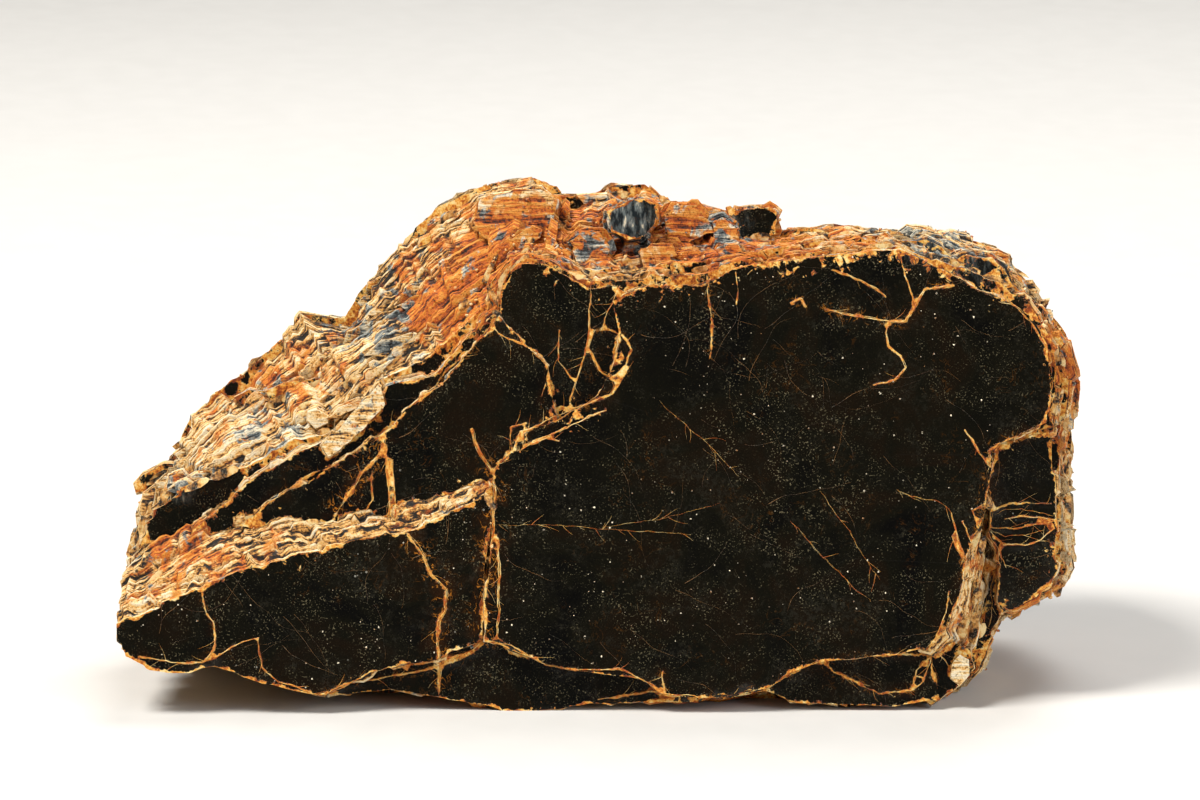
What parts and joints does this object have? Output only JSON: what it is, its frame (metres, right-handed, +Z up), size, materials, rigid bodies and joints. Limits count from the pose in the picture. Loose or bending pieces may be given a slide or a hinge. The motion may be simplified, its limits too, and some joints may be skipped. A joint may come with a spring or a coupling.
{
  "type": "rough biotite",
  "caption": "Rough book of dark biotite mica: a weathered stack of glossy cleavage sheets with broken, iron-stained edges, standing on its level lower side as a display stone.",
  "frame": {"origin": "middle of the bounding box's underside, on the surface that the stone stands on", "axes": "+X along the sheets, to the right as seen from the big cleavage face; +Y from that face through the stack to the reverse; +Z up. The sheets lean back by 12 degrees."},
  "size_m": [0.0738, 0.0318, 0.0371],
  "materials": {
    "biotite": "glossy dark cleavage faces, matt cream to rust edges"
  },
  "bodies": {
    "root": {"biotite": "biotite"}
  },
  "joints": []
}
